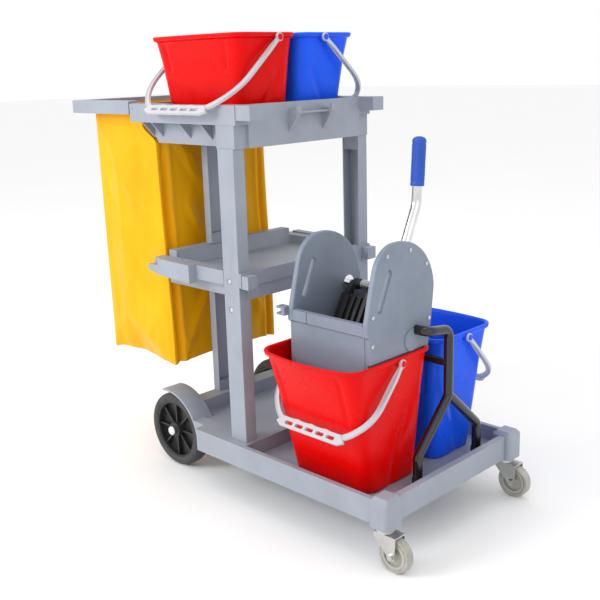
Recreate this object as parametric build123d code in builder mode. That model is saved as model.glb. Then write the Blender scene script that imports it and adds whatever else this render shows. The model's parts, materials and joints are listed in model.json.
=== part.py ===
from build123d import *
from math import cos, radians, sin
import os

os.makedirs("parts", exist_ok=True)

# Driving dimensions, in mm. X runs from the bag end to the caster end, Y across, Z up from the floor.
ax = -243.5  # rear axle, measured from the middle of the cart
clear = 0.06  # radial clearance of every running fit
gap = 0.4  # gap between neighbouring pieces that don't bear on each other

wheel_r, wheel_w, wheel_y, axle_z, axle_r = 100.0, 44.0, 185.0, 100.0, 8.0
rim_in_r, boss_r, spoke_count = 78.0, 20.0, 8
caster_r, caster_w, caster_x, caster_y, caster_trail = 40.0, 22.0, 750.0, 232.0, 28.0

deck_half, deck_front, deck_low, deck_top, well_floor, rear_floor = 252.0, 764.0, 101.0, 158.0, 121.0, 152.0
well_rear, rail_w, rim_w, skin = 326.0, 12.0, 16.0, 4.0
rear_rim_x0, rear_rim_x1, rear_rim_top, narrow_half = 27.0, 72.0, 187.5, 158.0
fender_r, fender_t, fender_y0, fender_y1 = 114.0, 5.0, 163.0, 222.0
block_x0, block_x1, block_y0, block_y1, block_low = 726.0, 778.0, 205.0, 259.0, 97.0

post_x0, post_x1, post_y0, post_y1, post_t = 262.0, 316.0, 195.0, 229.0, 3.5
rear_post_x0, rear_post_x1, rear_post_y0, rear_post_y1 = 27.5, 50.0, -84.0, 44.0

shelf_x0, shelf_x1, shelf_half, shelf_low, shelf_step, shelf_top = 20.0, 323.0, 229.0, 512.0, 545.0, 579.0
shelf_floor, shelf_rear_top, shelf_wall = 557.0, 596.0, 10.0

tray_x0, tray_x1, tray_half, skirt_half = -60.0, 327.5, 229.0, 189.0
skirt_low, flange_low, tray_floor, tray_top = 862.7, 915.0, 932.0, 959.0

hinge_x, hinge_z, hinge_r, pin_r = -50.0, 948.0, 13.0, 4.0
beam_x0, beam_x1, beam_y0, beam_y1, beam_low, beam_top = -331.0, -70.5, 199.0, 229.0, 933.0, 966.0
end_w = 30.0  # width of the bag frame's end beam

frame_x0, frame_x1, frame_y, frame_r = 389.0, 722.0, 28.0, 11.0
plate_x0, plate_x1, plate_t = 458.0, 690.0, 14.0
shaft_y, shaft_z, shaft_r, lever_x = -30.0, 546.0, 7.5, 608.0


def block(x0, x1, y0, y1, z0, z1, mode=Mode.ADD):
    """A box between two corners; X is measured from the rear axle."""
    with Locations((ax + (x0 + x1) / 2, (y0 + y1) / 2, (z0 + z1) / 2)):
        Box(x1 - x0, y1 - y0, z1 - z0, mode=mode)


def rod(start, direction, radius, length, mode=Mode.ADD):
    """A cylinder from a start point; X is measured from the rear axle."""
    with Locations(Plane(origin=(ax + start[0], start[1], start[2]), z_dir=direction).location):
        Cylinder(radius, length, align=(Align.CENTER, Align.CENTER, Align.MIN), mode=mode)


def wall_xz(points, y0, y1, mode=Mode.ADD):
    """A plate with its outline in XZ, from y0 to y1."""
    with BuildSketch(Plane.XZ.offset(-y1)) as outline:
        with BuildLine():
            Polyline([(ax + x, z) for x, z in points], close=True)
        make_face()
    extrude(outline.sketch, amount=y1 - y0, mode=mode)


def channel(x0, x1, y0, y1, z0, z1, open_side):
    """A U-section post, open on one side."""
    block(x0, x1, y0, y1, z0, z1)
    cut = {"+x": (post_t, 1, post_t, -post_t), "+y": (post_t, -post_t, post_t, 1), "-y": (post_t, -post_t, -1, -post_t)}
    a, b, c, d = cut[open_side]
    block(x0 + a, x1 + b, y0 + c, y1 + d, z0 - 1, z1 + 1, Mode.SUBTRACT)


# ---------------------------------------------------------------- deck
with BuildPart() as base_deck:
    block(90, deck_front, -fender_y1, fender_y1, deck_low, deck_top)
    block(148, deck_front, -deck_half, deck_half, deck_low, deck_top)
    block(rear_rim_x0, 100, -narrow_half, narrow_half, deck_low, deck_top)
    block(rear_rim_x0, rear_rim_x1, -narrow_half, narrow_half, deck_top, rear_rim_top)
    for side in (-1, 1):
        y_low = min(side * (narrow_half + 2), side * (fender_y1 + 2))
        rod((0, y_low, axle_z), (0, 1, 0), fender_r, fender_y1 - narrow_half, Mode.SUBTRACT)
    block(well_rear, deck_front - rim_w, -deck_half + rail_w, deck_half - rail_w, well_floor, deck_top + 1, Mode.SUBTRACT)
    block(rear_rim_x1, 318, -186, 186, rear_floor, deck_top + 1, Mode.SUBTRACT)
    with Locations((ax + 537, 0, (deck_low + well_floor - skin) / 2)):
        with GridLocations(103, 94, 4, 5):
            Box(97, 88, well_floor - skin - deck_low, mode=Mode.SUBTRACT)
    with Locations((ax + 237, 0, (deck_low + rear_floor - skin) / 2)):
        with GridLocations(84, 94, 2, 5):
            Box(78, 88, rear_floor - skin - deck_low, mode=Mode.SUBTRACT)
    with Locations((ax + 91, 0, (deck_low + rear_floor - skin) / 2)):
        with GridLocations(60, 102, 2, 3):
            Box(54, 96, rear_floor - skin - deck_low, mode=Mode.SUBTRACT)
    for side in (-1, 1):
        corner_y = side * (block_y0 + block_y1) / 2
        with BuildSketch(Plane.XY.offset(block_low)):
            with Locations((ax + (block_x0 + block_x1) / 2, corner_y)):
                RectangleRounded(block_x1 - block_x0, block_y1 - block_y0, 11)
        extrude(amount=deck_top - block_low)
        with BuildSketch(Plane.XY.offset(deck_top)):
            with Locations((ax + (block_x0 + block_x1) / 2, corner_y)):
                RectangleRounded(block_x1 - block_x0, block_y1 - block_y0, 11)
        extrude(amount=9, taper=45)
        rod((caster_x, side * caster_y, block_low - 1), (0, 0, 1), 6.0 + clear, 42, Mode.SUBTRACT)
        # wheel arch over the front and top of the rear wheel
        with BuildSketch(Plane.XZ.offset(-max(side * fender_y0, side * fender_y1))):
            with BuildLine():
                arch_in = CenterArc((ax, axle_z), fender_r, 20, 80)
                arch_out = CenterArc((ax, axle_z), fender_r + fender_t, 20, 80)
                Line(arch_in @ 0, arch_out @ 0)
                Line(arch_in @ 1, arch_out @ 1)
            make_face()
        extrude(amount=fender_y1 - fender_y0)
        # axle bearing web beside each wheel
        web_y = (148, narrow_half) if side > 0 else (-narrow_half, -148)
        wall_xz([(-19, 96), (-12, 118), (30, 154), (100, 154), (100, 101), (14, 83)], *web_y)
        rod((0, web_y[0], axle_z), (0, 1, 0), 19, narrow_half - 148)
        # plug that locates the front post
        plug_y = (post_y0 + 1, post_y1 - post_t - gap) if side > 0 else (-post_y1 + post_t + gap, -post_y0 - 1)
        block(post_x0 + post_t + gap, post_x1 - post_t - gap, *plug_y, deck_top - 2, 196)
    rod((0, -200, axle_z), (0, 1, 0), axle_r + clear, 400, Mode.SUBTRACT)
    block(rear_post_x0 + post_t + gap, rear_post_x1 - 1, rear_post_y0 + post_t + gap,
          rear_post_y1 - post_t - gap, rear_rim_top - 1, 215)
    fillet(base_deck.edges().filter_by(Axis.Z).filter_by_position(Axis.X, ax + 147, ax + 149), 6)
base_deck.part.label = "base_deck"
export_step(base_deck.part, "parts/base_deck.step")

# ---------------------------------------------------------------- rear wheels and axle
with BuildPart() as rear_axle:
    rod((0, -214, axle_z), (0, 1, 0), axle_r, 428)
rear_axle.part.label = "rear_axle"
export_step(rear_axle.part, "parts/rear_axle.step")

with BuildPart() as axle_caps:
    for side in (-1, 1):
        rod((0, side * 208.4, axle_z), (0, side, 0), 13, 12.4)
        fillet(axle_caps.edges().filter_by_position(Axis.Y, side * 220.8 - 0.1, side * 220.8 + 0.1), 6)
    rod((0, -214.5, axle_z), (0, 1, 0), axle_r + clear, 429, Mode.SUBTRACT)
axle_caps.part.label = "axle_caps"
export_step(axle_caps.part, "parts/axle_caps.step")

wheel_axis = Axis((ax, 0, axle_z), (0, 1, 0))
for side, name in ((-1, "near"), (1, "far")):
    mid = side * wheel_y
    with BuildPart() as rear_tyre:
        with BuildSketch(Plane.YZ.offset(ax)):
            with BuildLine():
                Polyline((mid - 19, axle_z + rim_in_r), (mid - 22, axle_z + 84), (mid - 22, axle_z + 92))
                ThreePointArc((mid - 22, axle_z + 92), (mid - 17.2, axle_z + 97.8), (mid - 10, axle_z + wheel_r))
                Line((mid - 10, axle_z + wheel_r), (mid + 10, axle_z + wheel_r))
                ThreePointArc((mid + 10, axle_z + wheel_r), (mid + 17.2, axle_z + 97.8), (mid + 22, axle_z + 92))
                Polyline((mid + 22, axle_z + 92), (mid + 22, axle_z + 84), (mid + 19, axle_z + rim_in_r))
                Line((mid + 19, axle_z + rim_in_r), (mid - 19, axle_z + rim_in_r))
            make_face()
        revolve(axis=wheel_axis)
    rear_tyre.part.label = f"rear_tyre_{name}"
    export_step(rear_tyre.part, f"parts/rear_tyre_{name}.step")

    with BuildPart() as rear_hub:
        with BuildSketch(Plane.YZ.offset(ax)):
            with Locations((mid, axle_z + rim_in_r - 2.5)):
                Rectangle(37, 5)
            with Locations((mid, axle_z + 47)):
                Rectangle(5, 56)
            with Locations((mid, axle_z + (axle_r + clear + boss_r) / 2)):
                Rectangle(wheel_w, boss_r - axle_r - clear)
        revolve(axis=wheel_axis)
        for turn in range(spoke_count):
            with Locations(Location((ax, mid, axle_z), (0, turn * 360 / spoke_count, 0)) * Location((46, 0, 0))):
                Box(58, 26, 5)
    rear_hub.part.label = f"rear_hub_{name}"
    export_step(rear_hub.part, f"parts/rear_hub_{name}.step")

# ---------------------------------------------------------------- swivel casters
wheel_x = caster_x + caster_trail
for side, name in ((-1, "near"), (1, "far")):
    mid = side * caster_y
    spin = Axis((ax + wheel_x, mid, caster_r), (0, 1, 0))
    with BuildPart() as caster_mount:
        rod((caster_x, mid, 88.5), (0, 0, 1), 21, block_low - 88.5)
        rod((caster_x, mid, block_low - 1), (0, 0, 1), 6, 40)
        rod((caster_x, mid, 79), (0, 0, 1), 5, 12)
        rod((caster_x, mid, 78.5), (0, 0, 1), 8, 3.5)
    caster_mount.part.label = f"caster_mount_{name}"
    export_step(caster_mount.part, f"parts/caster_mount_{name}.step")

    with BuildPart() as caster_fork:
        block(caster_x - 18, wheel_x + 12, mid - 17, mid + 17, 82.5, 85.5)
        rod((caster_x, mid, 85.5), (0, 0, 1), 19, 2.6)
        leg = [(caster_x - 18, 85.5), (wheel_x + 12, 85.5), (wheel_x + 12, 72), (wheel_x + 9, 36), (wheel_x + 3, 31),
               (wheel_x - 5, 31), (wheel_x - 10, 38), (caster_x - 18, 74)]
        wall_xz(leg, mid - 17, mid - 14.5)
        wall_xz(leg, mid + 14.5, mid + 17)
        rod((caster_x, mid, 80), (0, 0, 1), 5 + clear, 12, Mode.SUBTRACT)
        rod((wheel_x, mid - 20, caster_r), (0, 1, 0), 4 + clear, 40, Mode.SUBTRACT)
    caster_fork.part.label = f"caster_fork_{name}"
    export_step(caster_fork.part, f"parts/caster_fork_{name}.step")

    with BuildPart() as caster_tread:
        with BuildSketch(Plane.YZ.offset(ax + wheel_x)):
            with Locations((mid, caster_r + 35.5)):
                RectangleRounded(caster_w, 9, 3.5)
        revolve(axis=spin)
    caster_tread.part.label = f"caster_tread_{name}"
    export_step(caster_tread.part, f"parts/caster_tread_{name}.step")

    with BuildPart() as caster_hub:
        with BuildSketch(Plane.YZ.offset(ax + wheel_x)):
            with Locations((mid, caster_r + 27.95)):
                Rectangle(20, 6)
            with Locations((mid, caster_r + 18)):
                Rectangle(8, 18)
            with Locations((mid, caster_r + (4 + clear + 10) / 2)):
                Rectangle(28, 10 - 4 - clear)
        revolve(axis=spin)
    caster_hub.part.label = f"caster_hub_{name}"
    export_step(caster_hub.part, f"parts/caster_hub_{name}.step")

    with BuildPart() as caster_bolt:
        rod((wheel_x, mid - 17.2, caster_r), (0, 1, 0), 4, 41)
        with BuildSketch(Plane.XZ.offset(-mid + 17.2)):
            with Locations((ax + wheel_x, caster_r)):
                RegularPolygon(7.5, 6)
        extrude(amount=5)
        with BuildSketch(Plane.XZ.offset(-mid - 22.2)):
            with Locations((ax + wheel_x, caster_r)):
                RegularPolygon(7.5, 6)
        extrude(amount=5)
    caster_bolt.part.label = f"caster_bolt_{name}"
    export_step(caster_bolt.part, f"parts/caster_bolt_{name}.step")

# ---------------------------------------------------------------- posts
screw_spots = ((281.0, 555.0), (283.0, 487.0))
for side, name, mouth in ((-1, "near", "+y"), (1, "far", "-y")):
    y0, y1 = (post_y0, post_y1) if side > 0 else (-post_y1, -post_y0)
    with BuildPart() as post:
        channel(post_x0, post_x1, y0, y1, deck_top, skirt_low, mouth)
        for x, z in screw_spots:
            rod((x, min(side * 224, side * 230), z), (0, 1, 0), 6.5, 6, Mode.SUBTRACT)
    post.part.label = f"{name}_post"
    export_step(post.part, f"parts/{name}_post.step")

with BuildPart() as rear_post_lower:
    channel(rear_post_x0, rear_post_x1, rear_post_y0, rear_post_y1, rear_rim_top, shelf_low, "+x")
rear_post_lower.part.label = "rear_post_lower"
export_step(rear_post_lower.part, "parts/rear_post_lower.step")

with BuildPart() as rear_post_upper:
    channel(rear_post_x0, rear_post_x1, rear_post_y0, rear_post_y1, shelf_rear_top, tray_floor - skin, "+x")
rear_post_upper.part.label = "rear_post_upper"
export_step(rear_post_upper.part, "parts/rear_post_upper.step")

with BuildPart() as post_screws:
    for side in (-1, 1):
        for x, z in screw_spots:
            rod((x, side * (post_y1 - post_t - gap), z), (0, side, 0), 5.5, 2.6)
            rod((x, side * 206, z), (0, side, 0), 2.5, 20)
post_screws.part.label = "post_screws"
export_step(post_screws.part, "parts/post_screws.step")

# ---------------------------------------------------------------- middle shelf
with BuildPart() as middle_shelf:
    block(shelf_x0, shelf_x1, -shelf_half, shelf_half, shelf_step, shelf_top)
    block(shelf_x0, 50, -200, 200, shelf_top, shelf_rear_top)
    block(shelf_x0 + 4, shelf_x1 - 4, -204, 204, shelf_low, shelf_step)
    with BuildSketch(Plane.XY.offset(shelf_floor)):
        with Locations((ax + 178, 0)):
            RectangleRounded(244, 376, 8)
    extrude(amount=shelf_rear_top - shelf_floor + 1, taper=-20, mode=Mode.SUBTRACT)
    block(shelf_x0 + 8, shelf_x1 - 8, -200, 200, shelf_low - 1, shelf_floor - skin, Mode.SUBTRACT)
    for side in (-1, 1):
        lug_y = (shelf_half - 2, 250) if side > 0 else (-250, -shelf_half + 2)
        wall_xz([(-6, 556), (2, 548), (38, 541), (158, 536), (158, shelf_top + 2), (36, shelf_top + 4), (34, 566),
                 (-6, 564)], *lug_y)
        arm_y = (200, shelf_half) if side > 0 else (-shelf_half, -200)
        block(shelf_x0 - 24, shelf_x0 + 1, *arm_y, 548, shelf_top)
        ear_y = (197, 227) if side > 0 else (-227, -197)
        block(shelf_x1 - 1, 345, *ear_y, 543, 574)
        slot_y = (post_y0 - gap, 300) if side > 0 else (-300, -post_y0 + gap)
        block(post_x0 - gap, post_x1 + gap, *slot_y, shelf_low - 1, shelf_top + 20, Mode.SUBTRACT)
        plug_y = (post_y0 - 1, post_y1 - post_t - gap) if side > 0 else (-post_y1 + post_t + gap, -post_y0 + 1)
        block(post_x0 + post_t + gap, post_x1 - post_t - gap, *plug_y, 468, 572)
        for x, z in screw_spots:
            rod((x, side * 204, z), (0, side, 0), 2.5 + clear, 30, Mode.SUBTRACT)
    block(post_x0 + post_t + gap, post_x1 - post_t - gap, -196, 196, 546, shelf_floor - 1)
    for z0, z1 in ((shelf_low - 26, shelf_floor - 1), (shelf_rear_top - 1, shelf_rear_top + 26)):
        block(rear_post_x0 + post_t + gap, rear_post_x1 - 1, rear_post_y0 + post_t + gap,
              rear_post_y1 - post_t - gap, z0, z1)
middle_shelf.part.label = "middle_shelf"
export_step(middle_shelf.part, "parts/middle_shelf.step")

# ---------------------------------------------------------------- top tray
with BuildPart() as top_tray:
    block(tray_x0, tray_x1, -tray_half, tray_half, flange_low, tray_top)
    block(tray_x0 + 12, tray_x1 - 12, -tray_half + 12, tray_half - 12, tray_floor, tray_top + 1, Mode.SUBTRACT)
    block(tray_x0 + 4, tray_x1 - 4, -tray_half + 4, tray_half - 4, flange_low - 1, tray_floor - skin, Mode.SUBTRACT)
    for y in (-117, -39, 39, 117):
        block(tray_x0 + 12, tray_x1 - 12, y - 1.5, y + 1.5, tray_floor, tray_floor + 2)
    skirt = [(-56, tray_floor - 1), (-56, 911), (-9, 868), (-9, skirt_low), (tray_x1, skirt_low),
             (tray_x1, tray_floor - 1)]
    for side in (-1, 1):
        skirt_y = (skirt_half - skin, skirt_half) if side > 0 else (-skirt_half, -skirt_half + skin)
        wall_xz(skirt, *skirt_y)
        socket_y = (skirt_half - skin, 227) if side > 0 else (-227, -skirt_half + skin)
        block(258, 320, *socket_y, skirt_low, tray_top)
        ear_y = (187, 227) if side > 0 else (-227, -187)
        block(319, 374, *ear_y, 926, tray_top)
        plug_y = (post_y0 + 1, post_y1 - post_t - gap) if side > 0 else (-post_y1 + post_t + gap, -post_y0 - 1)
        block(post_x0 + post_t + gap, post_x1 - post_t - gap, *plug_y, 826, skirt_low + 2)
        for x in (-24, 12, 120, 200):
            with BuildSketch(Plane.YZ.offset(ax + x - 2)):
                with BuildLine():
                    Polyline((side * 188, 926), (side * 226, 926), (side * 226, 917), (side * 188, 876), close=True)
                make_face()
            extrude(amount=4)
        # receiver for the bag frame: two cheeks with a slot between them
        cheek_y = (skirt_half - 2, 229) if side > 0 else (-229, -skirt_half + 2)
        block(-66, 58, *cheek_y, flange_low, tray_top)
        slot_y = (206.5, 221.5) if side > 0 else (-221.5, -206.5)
        block(-69, -34, *slot_y, flange_low + 16, 963, Mode.SUBTRACT)
        rod((hinge_x, min(side * 199, side * 229), hinge_z), (0, 1, 0), pin_r + clear, 30, Mode.SUBTRACT)
    block(tray_x1 - skin, tray_x1, -skirt_half, skirt_half, skirt_low, tray_floor)
    block(-13, -9, -skirt_half, skirt_half, 868, tray_floor - 1)
    hook = [(tray_x1 - 1, 941), (tray_x1 - 1, 888), (360, 934), (360, 950), (353, 950), (353, 941)]
    for y in (-57.0, 58.0):
        wall_xz(hook, y - 6, y + 6)
    block(tray_x1 - 1, 350, -57, 58, 932, 936)
top_tray.part.label = "top_tray"
export_step(top_tray.part, "parts/top_tray.step")

# ---------------------------------------------------------------- bag frame and bag
with BuildPart() as bag_frame:
    with BuildSketch(Plane.XY.offset(beam_low)):
        with Locations((ax + (beam_x0 + beam_x1) / 2, 0)):
            Rectangle(beam_x1 - beam_x0, 2 * beam_y1)
    extrude(amount=beam_top - beam_low)
    chamfer(bag_frame.edges().filter_by(Axis.Z).filter_by_position(Axis.X, ax + beam_x0 - 1, ax + beam_x0 + 1), 5)
    fillet(bag_frame.faces().sort_by(Axis.Z)[-1].edges(), 3)
    block(beam_x0 + end_w, beam_x1 + 1, -beam_y0, beam_y0, beam_low - 1, beam_top + 1, Mode.SUBTRACT)
    for side in (-1, 1):
        inner = (beam_y0 + 4, beam_y1 - 4) if side > 0 else (-beam_y1 + 4, -beam_y0 - 4)
        block(beam_x0 + end_w + 4, beam_x1 - 4, *inner, beam_low - 1, beam_top - 5, Mode.SUBTRACT)
        ledge = (beam_y0 - 6, beam_y0 + 1) if side > 0 else (-beam_y0 - 1, -beam_y0 + 6)
        block(beam_x0 + end_w, beam_x1, *ledge, beam_low, beam_low + 3)
        tongue = (207.0, 221.0) if side > 0 else (-221.0, -207.0)
        block(beam_x1 - 1, hinge_x, *tongue, hinge_z - hinge_r, hinge_z + hinge_r)
        rod((hinge_x, tongue[0], hinge_z), (0, 1, 0), hinge_r, 14)
        rod((hinge_x, tongue[0] - 1, hinge_z), (0, 1, 0), pin_r + clear, 16, Mode.SUBTRACT)
    block(beam_x0 + 4, beam_x0 + end_w - 4, -beam_y0 + 4, beam_y0 - 4, beam_low - 1, beam_top - 5, Mode.SUBTRACT)
    block(beam_x0 + end_w - 1, beam_x0 + end_w + 6, -beam_y0, beam_y0, beam_low, beam_low + 3)
bag_frame.part.label = "bag_frame"
export_step(bag_frame.part, "parts/bag_frame.step")

with BuildPart() as bag_hinge_pins:
    for side in (-1, 1):
        rod((hinge_x, min(side * 200, side * 228), hinge_z), (0, 1, 0), pin_r, 28)
bag_hinge_pins.part.label = "bag_hinge_pins"
export_step(bag_hinge_pins.part, "parts/bag_hinge_pins.step")

bag_wall = 2.5
bag_half = 185.0
with BuildPart() as waste_bag:
    bag_side = [(-286, 284), (-288, 955), (-78, 955), (-78, 903), (-24, 858), (-6, 290), (-140, 277)]
    wall_xz(bag_side, -bag_half, bag_half)
    fillet(waste_bag.edges().filter_by(Axis.Z, tolerance=3).filter_by(lambda e: e.length > 400), 14)
    bag_hollow = [(-286 + bag_wall, 286.5), (-288 + bag_wall, 960), (-78 - bag_wall, 960), (-78 - bag_wall, 902),
                  (-24 - bag_wall, 857), (-6 - bag_wall, 292), (-140, 279.6)]
    wall_xz(bag_hollow, -bag_half + bag_wall, bag_half - bag_wall, Mode.SUBTRACT)
    with BuildSketch(Plane.XY.offset(beam_low + 3)):
        with Locations((ax - 185.5, 0)):
            Rectangle(227, 2 * 197)
        with Locations((ax - 183, 0)):
            Rectangle(205, 2 * (bag_half - bag_wall), mode=Mode.SUBTRACT)
    extrude(amount=2.5)
waste_bag.part.label = "waste_bag"
export_step(waste_bag.part, "parts/waste_bag.step")


# ---------------------------------------------------------------- buckets and bails
def plan(z, mid_x, half, inner, outer, bulge, inset):
    """Bucket outline at one height: a rectangle with a bowed outer side."""
    step = 1 if outer > inner else -1
    a, b = ax + mid_x - half + inset, ax + mid_x + half - inset
    y_in, y_out = inner + step * inset, outer - step * inset
    with BuildSketch(Plane.XY.offset(z)) as outline:
        with BuildLine():
            Line((a, y_in), (b, y_in))
            Line((b, y_in), (b, y_out))
            ThreePointArc((b, y_out), ((a + b) / 2, y_out + step * bulge), (a, y_out))
            Line((a, y_out), (a, y_in))
        make_face()
        fillet(outline.vertices(), corner_r - inset)
    return outline.sketch


def bucket_body(mid_x, levels, inset, floor_t, mode):
    """One taper of a bucket, lofted through its levels: (z, half length, inner, outer, bulge)."""
    for low, high in zip(levels, levels[1:]):
        z0 = low[0] + (floor_t if low is levels[0] else 0)
        lower = plan(z0, mid_x, *low[1:], inset)
        upper = plan(high[0], mid_x, *high[1:], inset)
        loft([lower, upper], ruled=True, mode=mode)


lip_w, lip_h, bail_t, bail_w, eye_r, corner_r = 7.0, 11.0, 6.0, 11.0, 10.0, 28.0
buckets = (
    dict(node="lower_red", mid=555.0, wall=3.0, pivot=(-113.0, 414.0), hang=-1, angle=43.0, reach=216.0,
         levels=((121.0, 118.0, -22.0, -190.0, 2.0), (330.0, 129.0, -6.0, -236.0, 3.0),
                 (428.0, 137.0, 1.0, -258.0, 22.0))),
    dict(node="lower_blue", mid=555.0, wall=3.0, pivot=(137.0, 414.0), hang=1, angle=42.5, reach=216.0,
         levels=((121.0, 118.0, 50.0, 196.0, 2.0), (330.0, 129.0, 38.0, 226.0, 3.0),
                 (428.0, 137.0, 35.0, 242.0, 12.0))),
    dict(node="upper_red", mid=149.0, wall=3.0, pivot=(-75.0, 1104.0), hang=-1, angle=49.0, reach=250.0,
         levels=((934.0, 134.0, -16.0, -168.0, 2.0), (1060.0, 149.0, -12.0, -182.0, 3.0),
                 (1115.0, 159.0, -10.0, -190.0, 8.0))),
    dict(node="upper_blue", mid=149.0, wall=3.0, pivot=(78.0, 1104.0), hang=1, angle=49.0, reach=250.0,
         levels=((934.0, 134.0, 16.0, 168.0, 2.0), (1060.0, 149.0, 12.0, 182.0, 3.0),
                 (1115.0, 159.0, 10.0, 190.0, 8.0))),
)
for b in buckets:
    top = b["levels"][-1]
    arm_x = top[1] + lip_w + 0.8
    with BuildPart() as bucket:
        bucket_body(b["mid"], b["levels"], 0, 0, Mode.ADD)
        lip = plan(top[0] - lip_h, b["mid"], *top[1:], -lip_w)
        extrude(lip, amount=lip_h)
        bucket_body(b["mid"], b["levels"], b["wall"], b["wall"], Mode.SUBTRACT)
        for end in (-1, 1):
            rod((b["mid"] + end * (top[1] - 6), *b["pivot"]), (end, 0, 0), 9, lip_w + 6)
            rod((b["mid"] + end * top[1], *b["pivot"]), (end, 0, 0), 4, lip_w + 0.8 + bail_t + 1.5)
            rod((b["mid"] + end * (arm_x + bail_t + 0.3), *b["pivot"]), (end, 0, 0), 7, 1.4)
    bucket.part.label = f"bucket_{b['node']}"
    export_step(bucket.part, f"parts/bucket_{b['node']}.step")

    tilt = radians(b["angle"])
    down = (0, b["hang"] * sin(tilt), -cos(tilt))
    face = Plane(origin=(ax + b["mid"], *b["pivot"]), x_dir=(1, 0, 0),
                 z_dir=Vector(1, 0, 0).cross(Vector(*down)))
    reach, knee, grip_half = b["reach"], b["reach"] * 0.66, arm_x * 0.6
    with BuildPart() as bail:
        with BuildSketch(face) as hoop:
            with BuildLine():
                Polyline((-arm_x - bail_t, 0), (-arm_x - bail_t, knee), (-grip_half - 8, reach), (grip_half + 8, reach),
                         (arm_x + bail_t, knee), (arm_x + bail_t, 0), (arm_x, 0), (arm_x, knee - 2),
                         (grip_half, reach - 22), (-grip_half, reach - 22), (-arm_x, knee - 2), (-arm_x, 0), close=True)
            make_face()
            with Locations((0, reach - 10.5)):
                with GridLocations(grip_half * 0.36, 1, 5, 1):
                    SlotOverall(grip_half * 0.27, 10, mode=Mode.SUBTRACT)
        extrude(hoop.sketch, amount=bail_w / 2, both=True)
        for end in (-1, 1):
            rod((b["mid"] + end * arm_x, *b["pivot"]), (end, 0, 0), eye_r, bail_t)
            rod((b["mid"] + end * (arm_x - 1), *b["pivot"]), (end, 0, 0), 4 + clear, bail_t + 2, Mode.SUBTRACT)
    bail.part.label = f"bail_{b['node']}"
    export_step(bail.part, f"parts/bail_{b['node']}.step")

# ---------------------------------------------------------------- bent-tube frame that carries the wringer
with BuildPart() as bucket_frame:
    for x, plate_face in ((frame_x0, plate_x0), (frame_x1, plate_x1)):
        end_x = plate_face + (-gap if x < plate_face else gap)
        with BuildLine() as spine:
            FilletPolyline((ax + end_x, -50, 474), (ax + x, -50, 474), (ax + x, frame_y, 462), (ax + x, frame_y, 306),
                           (ax + x, -84, 192), (ax + x, -84, well_floor + 3), radius=20)
        with BuildLine() as branch:
            FilletPolyline((ax + x, frame_y, 310), (ax + x, 145, 204), (ax + x, 145, well_floor + 3), radius=22)
        for radius, mode in ((frame_r, Mode.ADD), (frame_r - 2, Mode.SUBTRACT)):
            for run in (spine.line, branch.line):
                with BuildSketch(Plane(origin=run @ 0, z_dir=run % 0)) as section:
                    Circle(radius)
                sweep(section.sketch, path=run, mode=mode)
    rod((frame_x0, 18, 388), (1, 0, 0), 8.5, frame_x1 - frame_x0)
bucket_frame.part.label = "bucket_frame"
export_step(bucket_frame.part, "parts/bucket_frame.step")

with BuildPart() as frame_feet:
    for x in (frame_x0, frame_x1):
        for y in (-84.0, 145.0):
            rod((x, y, well_floor), (0, 0, 1), 13, 22)
            rod((x, y, well_floor + 3), (0, 0, 1), frame_r + clear, 22, Mode.SUBTRACT)
frame_feet.part.label = "frame_feet"
export_step(frame_feet.part, "parts/frame_feet.step")

# ---------------------------------------------------------------- wringer
for x0, x1, name in ((plate_x0, plate_x0 + plate_t, "rear"), (plate_x1 - plate_t, plate_x1, "front")):
    with BuildPart() as plate:
        with BuildSketch(Plane.YZ.offset(ax + x0)) as outline:
            with BuildLine():
                Polyline((-100, 677), (-112, 677))
                ThreePointArc((-112, 677), (-160, 662), (-184, 628))
                Polyline((-184, 628), (-192, 600), (-213, 518), (-213, 492), (-205, 486), (-205, 384), (-24, 384),
                         (-6, 430), (4, 484), (15, 572))
                ThreePointArc((15, 572), (-22, 644), (-100, 677))
            make_face()
            with Locations(Location((-156.5, 579.5), 65.9)):
                SlotCenterToCenter(80, 15, mode=Mode.SUBTRACT)
        extrude(outline.sketch, amount=plate_t)
        fillet(plate.edges().filter_by(lambda e: e.length > 50 and abs((e @ 0.5).Z - 600) < 90
                                       and e.geom_type == GeomType.CIRCLE), 3.5)
        rod((x0 + (4 if name == "rear" else -1), shaft_y, shaft_z), (1, 0, 0), shaft_r + clear, plate_t - 3,
            Mode.SUBTRACT)
        boss_x = x0 - 3 if name == "rear" else x1
        with Locations(Plane(origin=(ax + boss_x, -66, 455), z_dir=(1, 0, 0)).location):
            Cylinder(25, 3, align=(Align.CENTER, Align.CENTER, Align.MIN))
        if name == "front":
            block(plate_x1 - 8, plate_x1 + 4, -216, 18, 380, 430.5, Mode.SUBTRACT)
            block(plate_x1 - plate_t - 1, plate_x1 + 4, -14, 18, 380, 430.5, Mode.SUBTRACT)
            rod((plate_x1 - 1, -50, 474), (1, 0, 0), frame_r + gap, 6, Mode.SUBTRACT)
        else:
            rod((plate_x0 - 5, -50, 474), (1, 0, 0), frame_r + gap, 6, Mode.SUBTRACT)
    plate.part.label = f"wringer_plate_{name}"
    export_step(plate.part, f"parts/wringer_plate_{name}.step")

in_x0, in_x1 = plate_x0 + plate_t, plate_x1 - plate_t
with BuildPart() as wringer_near_panel:
    block(in_x0, in_x1, -213, -199, 492, 517)
    block(in_x0, in_x1, -203, -199, 489, 493)
    block(in_x0, in_x1, -207, -199, 384, 489)
    block(514, 516, -214, -211, 491, 518, Mode.SUBTRACT)
wringer_near_panel.part.label = "wringer_near_panel"
export_step(wringer_near_panel.part, "parts/wringer_near_panel.step")

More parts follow.
